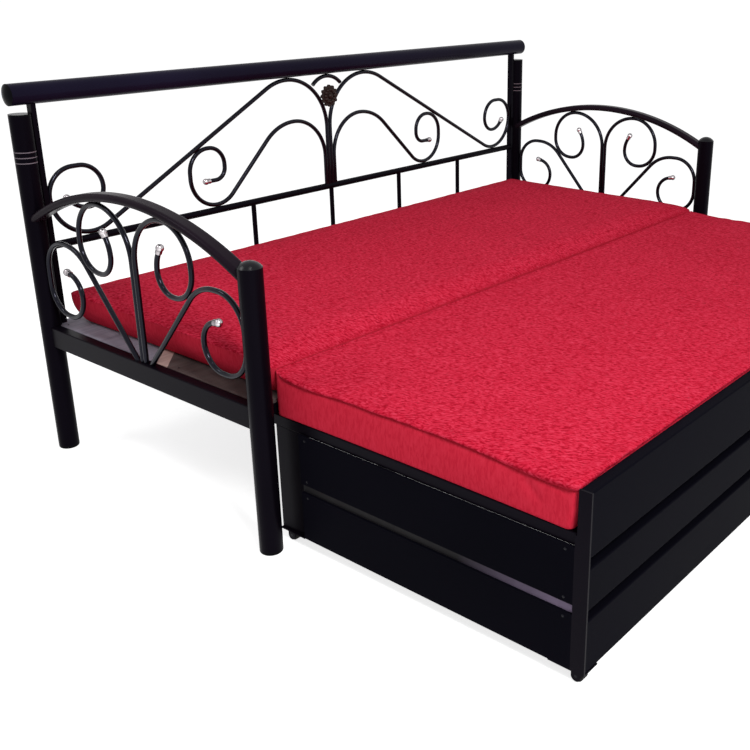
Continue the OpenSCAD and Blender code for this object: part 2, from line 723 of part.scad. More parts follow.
// Front edge of the strip in plan, and the same line moved back by the strip's width
function strip_edge(back) = [
    [-board_half, strip_end_y + back], [seat_strip_slant - board_half, strip_mid_y + back],
    [board_half - seat_strip_slant, strip_mid_y + back], [board_half, strip_end_y + back]];
front_strip_edge = strip_edge(-seat_strip_w / 2);
rear_strip_edge = strip_edge(seat_strip_w / 2);
module seat_board(outline) {
    difference() {
        translate([0, 0, board_low_z]) linear_extrude(seat_board_t) polygon(outline);
        for (x = [-half_span, half_span], y = [back_y, front_y])
            translate([x, y, 0]) cylinder(r = post_r + tack_gap, h = back_post_h);
        back_panel_space();
    }
}
module back_panel_space() {
    first_x = upright_shift - upright_pitch * (upright_count - 1) / 2;
    for (k = [0 : upright_count - 1]) translate([first_x + k * upright_pitch, back_y, 0])
        cylinder(d = upright_dia + 2 * tack_gap, h = cross_rail_z);
    notch_d = side_bar_d + 2 * tack_gap;
    notch_x = side_bar_x - side_bar_w / 2 - tack_gap;
    both_ends() translate([notch_x, back_y - notch_d / 2, board_low_z - overrun])
        cube([side_bar_w * 3, notch_d, seat_board_t + 2 * overrun]);
}
function last_to_first(list) = [for (k = [len(list) - 1 : -1 : 0]) list[k]];
module seat_rear_board() {
    rear_edge = [[board_half, board_rear_y], [-board_half, board_rear_y]];
    color(ply_grey) seat_board(concat(rear_strip_edge, rear_edge));
}
module seat_front_board() {
    color(ply_brown) seat_board(concat([[-board_half, seat_front_y], [board_half, seat_front_y]],
        last_to_first(front_strip_edge)));
}
module seat_joint_strip() {
    color(pale_wood) seat_board(concat(front_strip_edge, last_to_first(rear_strip_edge)));
}
module seat_screws() {
    x = seat_rail_half - screw_r * 4;
    inset = seat_strip_w;
    places = [board_rear_y - inset, strip_end_y + inset * 2, strip_end_y - inset, seat_front_y + inset];
    color(chrome) both_ends() for (y = places) translate([x, y, seat_z]) dome_head(screw_r);
}

// Mattress halves. A pad is closed rings of points round a rounded rectangle: rings = [inset, height,
// further inset at the front edge], from the middle of the underside to the middle of the top.
pad_corner_r = front_pad_t * 0.34;
pad_corner_steps = 4;
pad_side_steps = 9;
pad_end_steps = 5;
function between(a, b, t) = a + (b - a) * t;
function corner_points(cx, cy, r, from) =
    [for (k = [0 : pad_corner_steps]) let (a = from + k * 90 / pad_corner_steps)
        [cx + r * cos(a), cy + r * sin(a)]];
function side_points(p, q, steps) =
    [for (k = [1 : steps - 1]) [between(p[0], q[0], k / steps), between(p[1], q[1], k / steps)]];
function pad_outline(a, b, r) = concat(
    corner_points(a - r, b - r, r, 0), side_points([a - r, b], [r - a, b], pad_side_steps),
    corner_points(r - a, b - r, r, 90), side_points([-a, b - r], [-a, r - b], pad_end_steps),
    corner_points(r - a, r - b, r, 180), side_points([r - a, -b], [a - r, -b], pad_side_steps),
    corner_points(a - r, r - b, r, 270), side_points([a, r - b], [a, b - r], pad_end_steps));
function pull_in(p, a, b) = [
    p[0] * (1 - side_pull / a * (1 - pow(p[1] / b, 2))),
    p[1] * (1 - side_pull / b * (1 - pow(p[0] / a, 2)))];
function pad_ring(a, b, ring) =
    let (inset = ring[0], r = max(pad_corner_r - inset, pad_corner_r * 0.2))
    [for (p = pad_outline(a - inset, b - inset, r))
        let (q = pull_in(p, a, b), front = max(0, -q[1] / b))
        [q[0], q[1] + ring[2] * pow(front, 6), ring[1]]];
module pad(a, b, rings) {
    loops = [for (ring = rings) pad_ring(a, b, ring)];
    n = len(loops[0]);
    m = len(rings);
    low = [0, 0, rings[0][1]];
    high = [0, 0, rings[m - 1][1]];
    points = concat([low], [for (loop = loops, p = loop) p], [high]);
    last = len(points) - 1;
    polyhedron(points, concat(
        [for (i = [0 : n - 1]) [0, 1 + i, 1 + (i + 1) % n]],
        [for (k = [0 : m - 2], i = [0 : n - 1])
            [1 + k * n + i, 1 + (k + 1) * n + i, 1 + k * n + (i + 1) % n]],
        [for (k = [0 : m - 2], i = [0 : n - 1])
            [1 + k * n + (i + 1) % n, 1 + (k + 1) * n + i, 1 + (k + 1) * n + (i + 1) % n]],
        [for (i = [0 : n - 1]) [last, 1 + (m - 1) * n + (i + 1) % n, 1 + (m - 1) * n + i]]));
}
// Shares of the crown's height at shares of its border's width
crown_shares = [[0, 0], [0.12, 0.3], [0.35, 0.66], [0.65, 0.9], [1, 1]];
hem_r = front_pad_t * 0.14;
hem_shares = [[1, 0], [0.3, 0.3], [0, 1]];
function pad_rings(t, relief, crown, tuck) = concat(
    [[crown_border, 0, relief]],
    [for (s = hem_shares) let (low = 1 - hem_r * s[1] / t)
        [hem_r * s[0] + tuck * low * low, hem_r * s[1], relief * low]],
    [[(side_pull + tuck / 2) / 2, t / 2, relief / 2], [0, t - hem_r, relief * hem_r / t], [0, t, 0]],
    [for (s = crown_shares) if (s[0] > 0) [crown_border * s[0], t + crown * s[1], 0]],
    [[crown_border * 2.5, t + crown, 0]]);
rear_pad_rear_y = back_y - cross_rail_dia / 2 - pad_back_gap;
fold_axis_y = seat_front_y - box_close_gap / 2;
rear_pad_front_y = fold_axis_y + soft_gap / 2;
module rear_mattress() {
    b = (rear_pad_rear_y - rear_pad_front_y) / 2;
    color(red_cloth) translate([0, rear_pad_front_y + b, seat_z])
        pad(pad_l / 2, b, pad_rings(rear_pad_t, 0, rear_crown, rear_tuck));
}
// The front half folds over the rear half about this axis, halfway between their two top faces
rear_pad_top_z = seat_z + rear_pad_t + rear_crown;
front_pad_low_z = box_top_z + soft_gap;
front_pad_top_z = front_pad_low_z + front_pad_t + front_crown;
fold_axis_z = (rear_pad_top_z + front_pad_top_z) / 2 + soft_gap;
module front_mattress() {
    rear_y = fold_axis_y - soft_gap / 2;
    near_y = box_inner_y + soft_gap * 2;
    b = (rear_y - near_y) / 2;
    color(red_cloth) translate([0, near_y + b, front_pad_low_z])
        pad(pad_l / 2, b, pad_rings(front_pad_t, fold_relief, front_crown, front_tuck));
}

// Pull-out box: frame. An angle iron closes each front corner, and its rear leg ends under the mattress.
module box_front_posts() {
    color(steel) both_ends() translate([box_half, box_front_y, box_bottom_z]) mirror([1, 0, 0]) {
        linear_extrude(front_top_z - box_bottom_z) square([corner_t, panel_t]);
        linear_extrude(box_top_z - box_bottom_z) {
            square([corner_t, panel_t + corner_t]);
            translate([0, panel_t]) square([box_tube, corner_t]);
        }
    }
}
module box_rear_posts() {
    color(steel) both_ends() translate([rail_in_x, sheet_rear_y, box_bottom_z])
        box_section_z(box_tube, rear_post_d, box_top_z - box_tube - box_bottom_z);
}
module side_rails(z, rear_y) {
    color(steel) both_ends() translate([rail_in_x, rail_front_y, z])
        box_section_y(box_tube, rear_y - rail_front_y, box_tube);
}
slot_low_z = box_bottom_z + lower_sheet_h;
module box_side_top_rails() { side_rails(box_top_z - box_tube, box_rear_y); }
module box_side_middle_rails() { side_rails(slot_low_z + (side_slot_h - box_tube) / 2, sheet_rear_y); }
module box_side_bottom_rails() { side_rails(box_bottom_z, sheet_rear_y); }
module box_cross_rails() {
    high = box_top_z - box_tube;
    color(steel) for (p = [[box_inner_y, box_bottom_z], [box_inner_y, high],
        [rear_post_y - box_tube, box_bottom_z], [box_rear_y - box_tube, high]])
        translate([-rail_in_x, p[0], p[1]]) box_section(2 * rail_in_x, box_tube, box_tube);
}
module box_uprights() {
    low = box_bottom_z + box_tube;
    upright_x = box_half / 3;
    color(steel) both_ends() translate([upright_x - box_tube / 2, box_inner_y, low])
        box_section_z(box_tube, box_tube, box_top_z - box_tube - low);
}
slat_z = box_top_z - bed_board_t - box_tube;
bed_front_y = box_inner_y + box_tube;
bed_rear_y = box_rear_y - box_tube;
module box_slats() {
    pitch = (bed_rear_y - bed_front_y) / (slat_count + 1);
    color(steel) for (k = [1 : slat_count])
        translate([-rail_in_x, bed_front_y + k * pitch - box_tube / 2, slat_z])
            box_section(2 * rail_in_x, box_tube, box_tube);
}
module bed_board() {
    color(ply_brown) translate([-rail_in_x + tack_gap, bed_front_y + tack_gap, box_top_z - bed_board_t])
        cube([2 * (rail_in_x - tack_gap), bed_rear_y - bed_front_y - 2 * tack_gap, bed_board_t]);
}

// Pull-out box: sheets and boards
sheet_len = sheet_rear_y - rail_front_y;
module side_sheet(low_z, high_z) {
    translate([rail_out_x, rail_front_y, low_z]) cube([side_sheet_t, sheet_len, high_z - low_z]);
}
upper_sheet_low_z = slot_low_z + side_slot_h;
upper_sheet_top_z = box_top_z - sheet_reveal;
module upper_side_sheet_right() { color(sheet_black) side_sheet(upper_sheet_low_z, upper_sheet_top_z); }
module upper_side_sheet_left() { mirror([1, 0, 0]) upper_side_sheet_right(); }
module lower_side_sheet_right() { color(sheet_black) side_sheet(box_bottom_z, slot_low_z); }
module lower_side_sheet_left() { mirror([1, 0, 0]) lower_side_sheet_right(); }
board_edge_r = panel_t * 0.12;
module front_board(low_z, height) {
    half = box_half - corner_t - tack_gap / 2;
    color(sheet_black) translate([-half, box_front_y + board_setback, low_z]) rotate([90, 0, 90])
        linear_extrude(2 * half) round_rect([panel_t - board_setback, height], board_edge_r);
}
mid_board_z = box_bottom_z + low_board_h + front_slot_h;
top_board_z = mid_board_z + mid_board_h + front_slot_h;
module front_bottom_board() { front_board(box_bottom_z, low_board_h); }
module front_middle_board() { front_board(mid_board_z, mid_board_h); }
module front_top_board() { front_board(top_board_z, top_board_h); }
module box_sheet_screws() {
    inset = screw_r * 5;
    heights = [upper_sheet_top_z - inset / 2, upper_sheet_low_z + inset / 2, slot_low_z - inset / 2];
    color(chrome) both_ends() for (z = heights, y = [rail_front_y + inset, sheet_rear_y - inset])
        translate([box_half, y, z]) rotate([0, 90, 0]) dome_head(screw_r);
}

// Castors under the four corners of the box frame. A place is [outer end of the plate, direction in which
// the plate runs from there].
castor_x = box_half - castor_plate_w / 2;
castor_plate_l = rear_post_d;
castor_ends = [[box_front_y, 1], [rear_post_y, -1]];
function axle_y(end) = end[0] + end[1] * axle_inset;
axle_z = wheel_dia / 2;
fork_gap = 0.5;
fork_half = wheel_w / 2 + fork_gap + castor_plate_t;
module facing(direction) {
    if (direction > 0) children();
    else mirror([0, 1, 0]) children();
}
module castor_brackets() {
    plate_z = box_bottom_z - castor_plate_t;
    cheek_r = wheel_dia * 0.4;
    rivet_r = castor_plate_w * 0.11;
    color(steel) both_ends() for (e = castor_ends) translate([castor_x, e[0], 0]) facing(e[1]) {
        translate([0, axle_inset, 0]) difference() {
            union() {
                translate([-castor_plate_w / 2, -axle_inset, plate_z])
                    cube([castor_plate_w, castor_plate_l, castor_plate_t]);
                for (x = [-fork_half, fork_half - castor_plate_t]) translate([x, 0, axle_z]) {
                    rotate([0, 90, 0]) cylinder(r = cheek_r, h = castor_plate_t);
                    translate([0, -cheek_r, 0]) cube([castor_plate_t, 2 * cheek_r, plate_z - axle_z]);
                }
            }
            translate([-fork_half - overrun, 0, axle_z]) rotate([0, 90, 0])
                cylinder(d = axle_dia, h = 2 * (fork_half + overrun));
        }
        for (s = [-1, 1]) translate([s * castor_plate_w / 3, castor_plate_l - 2 * rivet_r, plate_z])
            mirror([0, 0, 1]) dome_head(rivet_r);
    }
}
module castor_axles() {
    color(chrome) both_ends() for (e = castor_ends)
        translate([castor_x - fork_half, axle_y(e), axle_z]) rotate([0, 90, 0])
            cylinder(d = axle_dia, h = 2 * fork_half);
}
module castor_wheel(end) {
    tread_r = wheel_w * 0.15;
    color(rubber) translate([castor_x, axle_y(end), axle_z]) rotate([0, 90, 0])
        rotate_extrude() difference() {
        union() {
            translate([0, -wheel_w / 2]) square([wheel_dia / 2 - tread_r, wheel_w]);
            translate([0, tread_r - wheel_w / 2]) square([wheel_dia / 2, wheel_w - 2 * tread_r]);
            for (s = [-1, 1]) translate([wheel_dia / 2 - tread_r, s * (wheel_w / 2 - tread_r)])
                circle(r = tread_r, $fn = 24);
        }
        translate([0, -wheel_w]) square([axle_dia / 2 + axle_play, 2 * wheel_w]);
    }
}
module castor_wheel_front_right() { castor_wheel(castor_ends[0]); }
module castor_wheel_front_left() { mirror([1, 0, 0]) castor_wheel(castor_ends[0]); }
module castor_wheel_rear_right() { castor_wheel(castor_ends[1]); }
module castor_wheel_rear_left() { mirror([1, 0, 0]) castor_wheel(castor_ends[1]); }

back_posts();
front_posts();
back_post_caps();
front_post_caps();
leg_shoes();
back_top_tube();
top_tube_end_caps();
back_side_bars();
back_cross_rail();
back_uprights();
outer_back_scroll_left();
outer_back_scroll_right();
inner_back_scroll_left();
inner_back_scroll_right();
centre_arch();
centre_medallion();
back_scroll_tips();
back_panel_bolts();
arm_top_tube_left();
arm_top_tube_right();
arm_lower_rail_left();
arm_lower_rail_right();
arm_inner_scrolls_left();
arm_inner_scrolls_right();
arm_outer_scrolls_left();
arm_outer_scrolls_right();
arm_scroll_tips();
front_post_bolts();
seat_rear_rail();
seat_front_rail();
seat_cross_members();
seat_rear_board();
seat_front_board();
seat_joint_strip();
seat_screws();
rear_mattress();
front_mattress();
box_front_posts();
box_rear_posts();
box_side_top_rails();
box_side_middle_rails();
box_side_bottom_rails();
box_cross_rails();
box_uprights();
box_slats();
bed_board();
upper_side_sheet_left();
upper_side_sheet_right();
lower_side_sheet_left();
lower_side_sheet_right();
front_top_board();
front_middle_board();
front_bottom_board();
box_sheet_screws();
castor_brackets();
castor_axles();
castor_wheel_front_left();
castor_wheel_front_right();
castor_wheel_rear_left();
castor_wheel_rear_right();
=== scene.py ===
import bpy
import bmesh
import json
import math
import numpy as np
from mathutils import Matrix, Vector
from types import SimpleNamespace


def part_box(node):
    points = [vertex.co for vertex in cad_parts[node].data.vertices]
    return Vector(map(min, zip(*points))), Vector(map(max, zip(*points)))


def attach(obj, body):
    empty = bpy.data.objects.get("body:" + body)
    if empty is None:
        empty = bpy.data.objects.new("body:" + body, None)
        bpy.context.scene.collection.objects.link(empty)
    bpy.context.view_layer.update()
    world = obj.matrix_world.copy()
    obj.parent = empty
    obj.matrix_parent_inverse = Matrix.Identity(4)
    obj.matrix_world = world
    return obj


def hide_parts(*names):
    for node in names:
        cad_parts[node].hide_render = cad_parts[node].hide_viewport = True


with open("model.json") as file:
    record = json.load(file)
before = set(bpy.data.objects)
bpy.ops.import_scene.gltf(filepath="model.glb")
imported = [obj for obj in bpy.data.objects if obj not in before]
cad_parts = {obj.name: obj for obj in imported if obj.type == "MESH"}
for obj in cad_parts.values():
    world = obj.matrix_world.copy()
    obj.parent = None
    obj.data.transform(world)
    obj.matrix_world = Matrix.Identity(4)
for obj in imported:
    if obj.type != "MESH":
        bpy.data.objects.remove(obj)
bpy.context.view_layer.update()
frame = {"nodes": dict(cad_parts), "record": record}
scene = bpy.context.scene
scene.view_settings.view_transform = "Standard"
print("frame loaded:", len(frame["nodes"]), "nodes")


# Camera
cameraSet = {
    "place": (-2.1133, -1.5003, 1.1576),  # metres, in the model's frame
    "heading": 51.441,  # degrees from +Y towards +X
    "pitch": 19.980,  # degrees below the horizon
    "roll": 0.128,
    "lens": 47.643,  # millimetres, for this sensor width
    "sensor": 36.0,
    "shift": (-0.13343, -0.05949),  # the photo is a crop, off the middle of its lens
    "farthest": 200.0,
}


def addCamera(c):
    cam = bpy.data.cameras.new("camera")
    cam.lens = c["lens"]
    cam.sensor_width = c["sensor"]
    cam.shift_x, cam.shift_y = c["shift"]
    cam.clip_end = c["farthest"]
    obj = bpy.data.objects.new("camera", cam)
    scene.collection.objects.link(obj)
    turn = Matrix.Rotation(-math.radians(c["heading"]), 4, "Z")
    tilt = Matrix.Rotation(math.radians(90.0 - c["pitch"]), 4, "X")
    roll = Matrix.Rotation(math.radians(c["roll"]), 4, "Z")
    obj.matrix_world = Matrix.Translation(Vector(c["place"])) @ turn @ tilt @ roll
    scene.camera = obj


addCamera(cameraSet)


# Node helpers
class Shader:
    # The node tree of a material or world: add() makes a node from its settings and what feeds its sockets
    def __init__(self, owner, outputNode="OutputMaterial"):
        self.owner = owner
        owner.use_nodes = True
        self.tree = owner.node_tree
        self.tree.nodes.clear()
        self.out = self.tree.nodes.new("ShaderNode" + outputNode)

    def feed(self, node, socket, value):
        if isinstance(value, bpy.types.NodeSocket):
            self.tree.links.new(value, node.inputs[socket])
        else:
            node.inputs[socket].default_value = value

    def add(self, kind, feeds=None, **settings):
        node = self.tree.nodes.new("ShaderNode" + kind)
        for key, value in settings.items():
            setattr(node, key, value)
        for socket, value in (feeds or {}).items():
            self.feed(node, socket, value)
        return node

    def place(self):
        return self.add("TexCoord").outputs["Object"]

    def spot(self, scale):
        # Object coordinates, scaled per axis
        return self.add("Mapping", {"Vector": self.place(), "Scale": scale}).outputs["Vector"]

    def noise(self, vector, scale=1.0, detail=2.0, rough=0.5, distort=0.0):
        feeds = {"Vector": vector, "Scale": scale, "Detail": detail, "Roughness": rough, "Distortion": distort}
        return self.add("TexNoise", feeds).outputs["Fac"]

    def ramp(self, fac, stops):
        node = self.add("ValToRGB", {"Fac": fac})
        for _ in range(len(stops) - 2):
            node.color_ramp.elements.new(0.5)
        for element, (position, colour) in zip(node.color_ramp.elements, stops):
            element.position = position
            element.color = (*colour, 1.0)
        return node.outputs["Color"]

    def spread(self, value, low, high):
        return self.add("MapRange", {"Value": value, "To Min": low, "To Max": high}).outputs["Result"]

    def mix(self, fac, a, b):
        # The colour mix node has its factor at socket 0, its colours at 6 and 7 and its result at output 2
        node = self.add("Mix", {0: fac}, data_type="RGBA")
        for socket, value in ((6, a), (7, b)):
            self.feed(node, socket, value if isinstance(value, bpy.types.NodeSocket) else (*value, 1.0))
        return node.outputs[2]

    def maths(self, kind, a, b=0.0):
        return self.add("Math", {0: a, 1: b}, operation=kind).outputs[0]

    def vectors(self, kind, feeds):
        return self.add("VectorMath", feeds, operation=kind).outputs[0]

    def bump(self, height, distance, strength=1.0):
        return self.add("Bump", {"Height": height, "Distance": distance, "Strength": strength}).outputs["Normal"]

    def end(self, surface):
        self.tree.links.new(surface, self.out.inputs["Surface"])
        return self.owner

    def finish(self, **feeds):
        names = {"colour": "Base Color", "rough": "Roughness", "metal": "Metallic", "normal": "Normal",
                 "specular": "Specular IOR Level", "sheen": "Sheen Weight", "sheenRough": "Sheen Roughness",
                 "sheenTint": "Sheen Tint", "tint": "Specular Tint", "ior": "IOR"}
        return self.end(self.add("BsdfPrincipled", {names[key]: value for key, value in feeds.items()}).outputs[0])


def material(name):
    return Shader(bpy.data.materials.new(name))


def srgb(r, g, b):
    # 0 to 255 as on a screen, to linear
    c = np.array([r, g, b], float) / 255.0
    return tuple(float(v) for v in np.where(c <= 0.04045, c / 12.92, ((c + 0.055) / 1.055) ** 2.4))


# Finishes
def ringGlintMask(s, place, rings):
    # 1 within rings["half"] of the nearest ring mark's height, 0 elsewhere: where the painted highlight goes
    height = s.add("SeparateXYZ", {"Vector": place}).outputs["Z"]
    step = s.maths("DIVIDE", s.maths("SUBTRACT", height, rings["lowest"]), rings["pitch"])
    step = s.maths("MINIMUM", s.maths("MAXIMUM", s.maths("ROUND", step), 0.0), rings["count"] - 1.0)
    nearest = s.maths("ADD", s.maths("MULTIPLY", step, rings["pitch"]), rings["lowest"])
    return s.maths("LESS_THAN", s.maths("ABSOLUTE", s.maths("SUBTRACT", height, nearest)), rings["half"])


def paint(name, look):
    # Baked powder paint: a faint orange peel, cloudy gloss and a little colour drift
    s = material(name)
    near = s.spot((1.0, 1.0, 1.0))
    cloud = s.noise(near, look["cloudScale"], detail=3.0)
    peel = s.noise(near, look["peelScale"], detail=1.0)
    colour = s.mix(cloud, look["dark"], look["light"])
    if "rings" in look:
        # Painted highlight: pale bands at the ring heights stand for light caught by the grooves' edges
        colour = s.mix(ringGlintMask(s, near, look["rings"]), colour, look["rings"]["glintColour"])
    rough = s.spread(cloud, look["rough"] - look["roughSpread"], look["rough"] + look["roughSpread"])
    return s.finish(colour=colour, rough=rough, ior=look["ior"], tint=(*look["tint"], 1.0),
                    normal=s.bump(peel, look["peelHeight"]))


def primer(name, look):
    # Rail in the grey primer slot: pale at its front end as painted light with random mottling, turning to painted
    # shade further in
    s = material(name)
    along = s.add("SeparateXYZ", {"Vector": s.place()}).outputs["Y"]
    # Painted shade: 0 at the lit front end, 1 further in, where the colour turns dark
    depth = s.add("MapRange", {"Value": along, "From Min": look["litY"], "From Max": look["shadedY"]})
    mottle = s.noise(s.spot((look["mottleScale"],) * 3), detail=4.0, rough=0.6)
    colour = s.mix(depth.outputs["Result"], s.mix(mottle, look["dimLight"], look["light"]), look["dark"])
    return s.finish(colour=colour, rough=s.spread(mottle, *look["rough"]), specular=look["specular"])


def timber(name, look):
    # Thin ply: long grain streaks along X, a few darker vessels and a cloudy stain
    s = material(name)
    streak = s.noise(s.spot(look["grain"]), detail=5.0, rough=0.6, distort=0.4)
    vessel = s.noise(s.spot(look["vessel"]))
    stain = s.noise(s.spot((look["stainScale"],) * 3))
    darkest, lightest = look["streakEdges"]
    colour = s.ramp(streak, [(darkest, look["dark"]), (lightest, look["light"])])
    colour = s.mix(s.spread(stain, 0.0, look["stainShare"]), colour, look["stain"])
    colour = s.mix(s.spread(vessel, 0.0, look["vesselShare"]), colour, look["dark"])
    return s.finish(colour=colour, rough=s.spread(streak, *look["rough"]), specular=look["specular"],
                    normal=s.bump(vessel, look["poreDepth"], look["poreStrength"]))


def metal(name, look):
    # Plated or bare metal: fine rub marks, and rims that turn dark as a painted reflection of dark surroundings
    s = material(name)
    rub = s.noise(s.spot((look["rubScale"],) * 3), detail=4.0, rough=0.7)
    # Painted reflection: the colour turns to the rim tone as the surface faces away
    rim = s.add("LayerWeight", {"Blend": look["rimBlend"]}).outputs["Facing"]
    face = s.mix(rub, look["dark"], look["light"])
    return s.finish(colour=s.mix(rim, face, look["rim"]), metal=1.0, rough=s.spread(rub, *look["rough"]))


def chenille(name, look):
    # Tufted yarn: short bright and dark flecks laid one way, swaying a little, over a slowly changing nap
    s = material(name)
    place = s.spot((1.0, 1.0, 1.0))
    sway = s.add("TexNoise", {"Vector": place, "Scale": look["swayScale"], "Detail": 2.0}).outputs["Color"]
    lean = s.vectors("SCALE", {0: s.vectors("SUBTRACT", {0: sway, 1: (0.5, 0.5, 0.5)}), 3: look["sway"]})
    moved = s.vectors("ADD", {0: place, 1: lean})
    laid = s.add("VectorRotate", {"Vector": moved, "Angle": look["turn"]}, rotation_type="Z_AXIS").outputs["Vector"]
    yarn = s.add("Mapping", {"Vector": laid, "Scale": look["fleck"]}).outputs["Vector"]
    fleck = s.noise(yarn, detail=2.5, rough=0.55, distort=0.5)
    fuzz = s.noise(s.spot(look["fuzz"]), rough=0.6)
    nap = s.noise(place, look["napScale"], detail=3.0)
    colour = s.ramp(fleck, [(edge, look[tone]) for tone, edge in look["fleckEdges"].items()])
    colour = s.mix(s.spread(fuzz, 0.0, look["fuzzShare"]), colour, look["middle"])
    colour = s.mix(s.spread(nap, 0.0, look["nap"]), colour, look["dark"])
    # Painted shade: darker towards the shade tone where the mesh marks the creases
    paintedCreaseShade = s.add("Attribute", attribute_name="paintedCreaseShade").outputs["Fac"]
    colour = s.mix(paintedCreaseShade, colour, look["paintedCreaseShade"])
    height = s.maths("ADD", fleck, s.maths("MULTIPLY", fuzz, look["fuzzRelief"]))
    return s.finish(colour=colour, rough=look["rough"], specular=look["specular"], sheen=look["sheen"],
                    sheenRough=look["sheenRough"], sheenTint=(*look["light"], 1.0),
                    normal=s.bump(height, look["relief"], look["reliefStrength"]))


def mould(name, look):
    # Moulded plastic or rubber: a fine cast grain and scuffed gloss
    s = material(name)
    grain = s.noise(s.spot((look["grain"],) * 3))
    scuff = s.noise(s.spot((look["scuffScale"],) * 3), detail=5.0, rough=0.7)
    less, more = (look["rough"] * (1 + side * look["scuffGloss"]) for side in (-1, 1))
    return s.finish(colour=s.mix(scuff, look["dark"], look["light"]), ior=look["ior"],
                    rough=s.spread(scuff, less, more),
                    normal=s.bump(grain, look["grainDepth"], look["grainStrength"]))


# What several finishes share. In a paint, ior sets how strongly it reflects, and tint the colour of that
powderCoat = {
    "dark": srgb(5, 3, 7), "light": srgb(13, 9, 16), "cloudScale": 5.0, "peelScale": 420.0,
    "peelHeight": 0.00005, "rough": 0.32, "roughSpread": 0.05, "ior": 1.115, "tint": (0.72, 0.68, 1.0)}
wood = {
    "grain": (3.0, 60.0, 60.0), "vessel": (12.0, 900.0, 900.0), "stainScale": 3.0, "streakEdges": (0.3, 0.7),
    "stainShare": 0.5, "vesselShare": 0.35, "rough": (0.55, 0.8), "specular": 0.25, "poreDepth": 0.0003,
    "poreStrength": 0.6}
moulded = {"scuffScale": 25.0, "scuffGloss": 0.25, "grainDepth": 0.0002, "grainStrength": 0.5}
yarns = {
    "fleckEdges": {"dark": 0.38, "middle": 0.48, "light": 0.70}, "fuzzRelief": 0.4, "rough": 0.9,
    "specular": 0.04, "sheen": 0.03, "sheenRough": 0.5, "nap": 0.3, "reliefStrength": 0.8}
finishes = {
    "black_powder_coat": paint("blackPowderCoat", powderCoat),
    "black_painted_board": paint("blackPaintedBoard", {
        "dark": srgb(7, 7, 12), "light": srgb(14, 13, 21), "cloudScale": 3.0, "peelScale": 260.0,
        "peelHeight": 0.00008, "rough": 0.5, "roughSpread": 0.06, "ior": 1.045, "tint": (0.8, 0.75, 1.0)}),
    "black_casting": paint("blackCasting", {
        "dark": srgb(18, 13, 13), "light": srgb(52, 38, 34), "cloudScale": 90.0, "peelScale": 700.0,
        "peelHeight": 0.00025, "rough": 0.42, "roughSpread": 0.1, "ior": 1.25, "tint": (1.0, 0.9, 0.85)}),
    "grey_primer": primer("railPaintedLight", {
        "light": srgb(140, 126, 152), "dimLight": srgb(104, 90, 112), "dark": srgb(16, 14, 17),
        "mottleScale": 40.0, "litY": -0.72, "shadedY": -0.5, "rough": (0.5, 0.7), "specular": 0.15}),
    "black_plastic": mould("blackPlastic", {
        **moulded, "dark": srgb(5, 5, 8), "light": srgb(12, 11, 16), "grain": 900.0, "rough": 0.2, "ior": 1.1}),
    "castor_rubber": mould("castorRubber", {
        **moulded, "dark": srgb(18, 17, 17), "light": srgb(44, 42, 41), "grain": 600.0, "rough": 0.6, "ior": 1.2}),
    "chrome": metal("tipChrome", {
        "dark": (0.62, 0.56, 0.58), "light": (0.86, 0.82, 0.84), "rim": (0.05, 0.04, 0.05), "rimBlend": 0.72,
        "rubScale": 90.0, "rough": (0.112, 0.208)}),
    "screw_zinc": metal("screwZinc", {
        "dark": (0.006, 0.006, 0.008), "light": (0.02, 0.02, 0.024), "rim": (0.005, 0.005, 0.006),
        "rimBlend": 0.5, "rubScale": 300.0, "rough": (0.28, 0.52)}),
    # Painted light and shade on one ply deck: the grey board's pale blue-grey tone is a painted sky reflection, and
    # the brown board's darker tone is painted shade
    "grey_ply": timber("deckPlySkyReflection", {
        **wood, "dark": srgb(120, 117, 130), "light": srgb(166, 164, 178), "stain": srgb(128, 123, 138)}),
    "brown_ply": timber("deckPlyShade", {
        **wood, "dark": srgb(58, 47, 46), "light": srgb(96, 84, 82), "stain": srgb(70, 60, 60)}),
    # Painted light: the pale strip's colour, with wood grain, stands for a patch of light falling on the deck between
    # the rods
    "pale_wood": timber("deckLightStrip", {
        **wood, "grain": (5.0, 90.0, 90.0),
        "dark": srgb(158, 130, 124), "light": srgb(206, 178, 170), "stain": srgb(176, 152, 148)}),
    "red_chenille": chenille("redChenille", {
        **yarns, "dark": srgb(160, 8, 32), "middle": srgb(212, 36, 64), "light": srgb(238, 72, 100),
        "paintedCreaseShade": srgb(136, 6, 26), "fleck": (310.0, 105.0, 170.0), "turn": -0.36, "fuzz": (800.0, 400.0, 800.0),
        "fuzzShare": 0.3, "swayScale": 16.0, "sway": 0.018, "napScale": 4.0, "nap": 0.28, "relief": 0.0011}),
}
bandWeave = chenille("redBandWeave", {
    **yarns, "dark": srgb(192, 32, 54), "middle": srgb(205, 41, 63), "light": srgb(214, 52, 74),
    "paintedCreaseShade": srgb(120, 4, 22), "fleck": (200.0, 200.0, 55.0), "turn": 0.0, "fuzz": (900.0, 900.0, 250.0),
    "fuzzShare": 0.7, "swayScale": 9.0, "sway": 0.01, "napScale": 6.0, "relief": 0.0002})
rodCoat = paint("rodCoat", {
    "dark": srgb(3, 3, 6), "light": srgb(9, 8, 14), "cloudScale": 9.0, "peelScale": 500.0,
    "peelHeight": 0.00002, "rough": 0.16, "roughSpread": 0.03, "ior": 1.3, "tint": (0.75, 0.75, 1.0)})
# Arm tubes: black paint whose lighter purplish colour is a painted sheen
armTubeSheenCoat = paint("armTubePaintedSheen", {
    "dark": srgb(14, 9, 14), "light": srgb(38, 28, 38), "cloudScale": 6.0, "peelScale": 420.0,
    "peelHeight": 0.00004, "rough": 0.26, "roughSpread": 0.04, "ior": 1.1, "tint": (0.9, 0.8, 1.0)})
